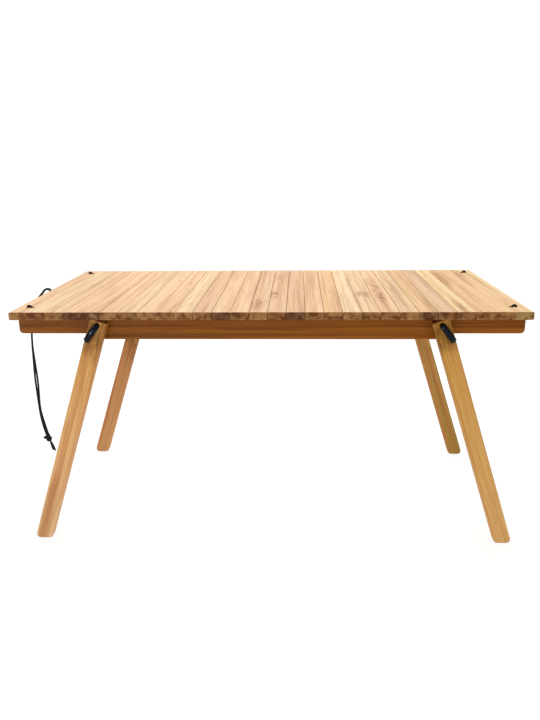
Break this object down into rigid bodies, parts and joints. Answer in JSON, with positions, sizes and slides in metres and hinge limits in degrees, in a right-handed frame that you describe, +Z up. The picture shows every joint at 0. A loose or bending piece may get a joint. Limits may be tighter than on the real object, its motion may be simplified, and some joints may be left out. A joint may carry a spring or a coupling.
{
  "type": "camping table",
  "caption": "Low wooden camping table: a roll-up top of slats strung on elastic cord, two stepped rails, and splayed legs lashed to them, with a binding cord.",
  "frame": {"origin": "on the ground under the middle of the top", "axes": "+X to the right along the table's length, +Y from the front to the back, +Z up"},
  "size_m": [1.0667, 0.51, 0.5058],
  "materials": {
    "slat_wood": "sanded and oiled, pale tan to peach",
    "rail_wood": "oiled, darker brown",
    "leg_wood": "sanded and oiled, golden brown",
    "dowel_wood": "plain turned dowel",
    "lashing_rubber": "glossy black elastic",
    "lacing_elastic": "black elastic cord",
    "binding_cord": "black braided cord"
  },
  "bodies": {
    "root": {"front_rail": "rail_wood", "back_rail": "rail_wood", "left_end_bar": "rail_wood", "right_end_bar": "rail_wood", "front_left_upper_dowel": "dowel_wood", "front_left_lower_dowel": "dowel_wood", "front_right_upper_dowel": "dowel_wood", "front_right_lower_dowel": "dowel_wood", "back_left_upper_dowel": "dowel_wood", "back_left_lower_dowel": "dowel_wood", "back_right_upper_dowel": "dowel_wood", "back_right_lower_dowel": "dowel_wood", "front_left_lashing": "lashing_rubber", "front_right_lashing": "lashing_rubber", "back_left_lashing": "lashing_rubber", "back_right_lashing": "lashing_rubber", "front_lacing_cord": "lacing_elastic", "back_lacing_cord": "lacing_elastic", "binding_strand_a": "binding_cord", "binding_strand_b": "binding_cord", "binding_knot": "binding_cord", "binding_tail_a": "binding_cord", "binding_tail_b": "binding_cord", "slat_01": "slat_wood"},
    "slat_02": {"slat_02": "slat_wood"},
    "slat_03": {"slat_03": "slat_wood"},
    "slat_04": {"slat_04": "slat_wood"},
    "slat_05": {"slat_05": "slat_wood"},
    "slat_06": {"slat_06": "slat_wood"},
    "slat_07": {"slat_07": "slat_wood"},
    "slat_08": {"slat_08": "slat_wood"},
    "slat_09": {"slat_09": "slat_wood"},
    "slat_10": {"slat_10": "slat_wood"},
    "slat_11": {"slat_11": "slat_wood"},
    "slat_12": {"slat_12": "slat_wood"},
    "slat_13": {"slat_13": "slat_wood"},
    "slat_14": {"slat_14": "slat_wood"},
    "slat_15": {"slat_15": "slat_wood"},
    "slat_16": {"slat_16": "slat_wood"},
    "slat_17": {"slat_17": "slat_wood"},
    "slat_18": {"slat_18": "slat_wood"},
    "slat_19": {"slat_19": "slat_wood"},
    "slat_20": {"slat_20": "slat_wood"},
    "slat_21": {"slat_21": "slat_wood"},
    "slat_22": {"slat_22": "slat_wood"},
    "slat_23": {"slat_23": "slat_wood"},
    "slat_24": {"slat_24": "slat_wood"},
    "slat_25": {"slat_25": "slat_wood"},
    "slat_26": {"slat_26": "slat_wood"},
    "slat_27": {"slat_27": "slat_wood"},
    "slat_28": {"slat_28": "slat_wood"},
    "front_left_leg": {"front_left_leg": "leg_wood"},
    "front_right_leg": {"front_right_leg": "leg_wood"},
    "back_left_leg": {"back_left_leg": "leg_wood"},
    "back_right_leg": {"back_right_leg": "leg_wood"}
  },
  "joints": [
    {"name": "top_roll", "type": "hinge", "parent": "root", "child": "slat_02", "pos_m": [-0.4655, 0, 0.5], "axis": [0, -1, 0], "range_deg": [0, 19.89], "deforming": ["front_lacing_cord", "back_lacing_cord"]},
    {"name": "roll_03", "type": "hinge", "parent": "slat_02", "child": "slat_03", "pos_m": [-0.42969, 0, 0.5], "axis": [0, -1, 0], "range_deg": [0, 20.21]},
    {"name": "roll_04", "type": "hinge", "parent": "slat_03", "child": "slat_04", "pos_m": [-0.39388, 0, 0.5], "axis": [0, -1, 0], "range_deg": [0, 20.53]},
    {"name": "roll_05", "type": "hinge", "parent": "slat_04", "child": "slat_05", "pos_m": [-0.35808, 0, 0.5], "axis": [0, -1, 0], "range_deg": [0, 20.87]},
    {"name": "roll_06", "type": "hinge", "parent": "slat_05", "child": "slat_06", "pos_m": [-0.32227, 0, 0.5], "axis": [0, -1, 0], "range_deg": [0, 21.22]},
    {"name": "roll_07", "type": "hinge", "parent": "slat_06", "child": "slat_07", "pos_m": [-0.28646, 0, 0.5], "axis": [0, -1, 0], "range_deg": [0, 21.59]},
    {"name": "roll_08", "type": "hinge", "parent": "slat_07", "child": "slat_08", "pos_m": [-0.25065, 0, 0.5], "axis": [0, -1, 0], "range_deg": [0, 21.98]},
    {"name": "roll_09", "type": "hinge", "parent": "slat_08", "child": "slat_09", "pos_m": [-0.21485, 0, 0.5], "axis": [0, -1, 0], "range_deg": [0, 22.39]},
    {"name": "roll_10", "type": "hinge", "parent": "slat_09", "child": "slat_10", "pos_m": [-0.17904, 0, 0.5], "axis": [0, -1, 0], "range_deg": [0, 22.83]},
    {"name": "roll_11", "type": "hinge", "parent": "slat_10", "child": "slat_11", "pos_m": [-0.14323, 0, 0.5], "axis": [0, -1, 0], "range_deg": [0, 23.3]},
    {"name": "roll_12", "type": "hinge", "parent": "slat_11", "child": "slat_12", "pos_m": [-0.10742, 0, 0.5], "axis": [0, -1, 0], "range_deg": [0, 23.79]},
    {"name": "roll_13", "type": "hinge", "parent": "slat_12", "child": "slat_13", "pos_m": [-0.07161, 0, 0.5], "axis": [0, -1, 0], "range_deg": [0, 24.32]},
    {"name": "roll_14", "type": "hinge", "parent": "slat_13", "child": "slat_14", "pos_m": [-0.03581, 0, 0.5], "axis": [0, -1, 0], "range_deg": [0, 24.88]},
    {"name": "roll_15", "type": "hinge", "parent": "slat_14", "child": "slat_15", "pos_m": [0, 0, 0.5], "axis": [0, -1, 0], "range_deg": [0, 25.48]},
    {"name": "roll_16", "type": "hinge", "parent": "slat_15", "child": "slat_16", "pos_m": [0.03581, 0, 0.5], "axis": [0, -1, 0], "range_deg": [0, 26.13]},
    {"name": "roll_17", "type": "hinge", "parent": "slat_16", "child": "slat_17", "pos_m": [0.07161, 0, 0.5], "axis": [0, -1, 0], "range_deg": [0, 26.83]},
    {"name": "roll_18", "type": "hinge", "parent": "slat_17", "child": "slat_18", "pos_m": [0.10742, 0, 0.5], "axis": [0, -1, 0], "range_deg": [0, 27.59]},
    {"name": "roll_19", "type": "hinge", "parent": "slat_18", "child": "slat_19", "pos_m": [0.14323, 0, 0.5], "axis": [0, -1, 0], "range_deg": [0, 28.43]},
    {"name": "roll_20", "type": "hinge", "parent": "slat_19", "child": "slat_20", "pos_m": [0.17904, 0, 0.5], "axis": [0, -1, 0], "range_deg": [0, 29.34]},
    {"name": "roll_21", "type": "hinge", "parent": "slat_20", "child": "slat_21", "pos_m": [0.21485, 0, 0.5], "axis": [0, -1, 0], "range_deg": [0, 30.34]},
    {"name": "roll_22", "type": "hinge", "parent": "slat_21", "child": "slat_22", "pos_m": [0.25065, 0, 0.5], "axis": [0, -1, 0], "range_deg": [0, 31.46]},
    {"name": "roll_23", "type": "hinge", "parent": "slat_22", "child": "slat_23", "pos_m": [0.28646, 0, 0.5], "axis": [0, -1, 0], "range_deg": [0, 32.71]},
    {"name": "roll_24", "type": "hinge", "parent": "slat_23", "child": "slat_24", "pos_m": [0.32227, 0, 0.5], "axis": [0, -1, 0], "range_deg": [0, 34.12]},
    {"name": "roll_25", "type": "hinge", "parent": "slat_24", "child": "slat_25", "pos_m": [0.35808, 0, 0.5], "axis": [0, -1, 0], "range_deg": [0, 35.73]},
    {"name": "roll_26", "type": "hinge", "parent": "slat_25", "child": "slat_26", "pos_m": [0.39388, 0, 0.5], "axis": [0, -1, 0], "range_deg": [0, 37.59]},
    {"name": "roll_27", "type": "hinge", "parent": "slat_26", "child": "slat_27", "pos_m": [0.42969, 0, 0.5], "axis": [0, -1, 0], "range_deg": [0, 39.77]},
    {"name": "roll_28", "type": "hinge", "parent": "slat_27", "child": "slat_28", "pos_m": [0.4655, 0, 0.5], "axis": [0, -1, 0], "range_deg": [0, 42.4]},
    {"name": "front_left_leg_pull", "type": "slide", "parent": "root", "child": "front_left_leg", "axis": [0, -1, 0], "range_m": [0, 0.03], "stiffness_N_per_m": 250, "deforming": ["front_left_lashing"]},
    {"name": "front_right_leg_pull", "type": "slide", "parent": "root", "child": "front_right_leg", "axis": [0, -1, 0], "range_m": [0, 0.03], "stiffness_N_per_m": 250, "deforming": ["front_right_lashing"]},
    {"name": "back_left_leg_pull", "type": "slide", "parent": "root", "child": "back_left_leg", "axis": [0, 1, 0], "range_m": [0, 0.03], "stiffness_N_per_m": 250, "deforming": ["back_left_lashing"]},
    {"name": "back_right_leg_pull", "type": "slide", "parent": "root", "child": "back_right_leg", "axis": [0, 1, 0], "range_m": [0, 0.03], "stiffness_N_per_m": 250, "deforming": ["back_right_lashing"]}
  ],
  "couplings": [
    {"joint": "roll_03", "follows": "top_roll", "ratio": 1.0153},
    {"joint": "roll_04", "follows": "top_roll", "ratio": 1.0314},
    {"joint": "roll_05", "follows": "top_roll", "ratio": 1.0483},
    {"joint": "roll_06", "follows": "top_roll", "ratio": 1.066},
    {"joint": "roll_07", "follows": "top_roll", "ratio": 1.0846},
    {"joint": "roll_08", "follows": "top_roll", "ratio": 1.1043},
    {"joint": "roll_09", "follows": "top_roll", "ratio": 1.1251},
    {"joint": "roll_10", "follows": "top_roll", "ratio": 1.147},
    {"joint": "roll_11", "follows": "top_roll", "ratio": 1.1704},
    {"joint": "roll_12", "follows": "top_roll", "ratio": 1.1951},
    {"joint": "roll_13", "follows": "top_roll", "ratio": 1.2216},
    {"joint": "roll_14", "follows": "top_roll", "ratio": 1.2498},
    {"joint": "roll_15", "follows": "top_roll", "ratio": 1.2802},
    {"joint": "roll_16", "follows": "top_roll", "ratio": 1.3129},
    {"joint": "roll_17", "follows": "top_roll", "ratio": 1.3482},
    {"joint": "roll_18", "follows": "top_roll", "ratio": 1.3865},
    {"joint": "roll_19", "follows": "top_roll", "ratio": 1.4283},
    {"joint": "roll_20", "follows": "top_roll", "ratio": 1.4741},
    {"joint": "roll_21", "follows": "top_roll", "ratio": 1.5246},
    {"joint": "roll_22", "follows": "top_roll", "ratio": 1.5807},
    {"joint": "roll_23", "follows": "top_roll", "ratio": 1.6435},
    {"joint": "roll_24", "follows": "top_roll", "ratio": 1.7144},
    {"joint": "roll_25", "follows": "top_roll", "ratio": 1.7954},
    {"joint": "roll_26", "follows": "top_roll", "ratio": 1.889},
    {"joint": "roll_27", "follows": "top_roll", "ratio": 1.9989},
    {"joint": "roll_28", "follows": "top_roll", "ratio": 2.1307}
  ]
}
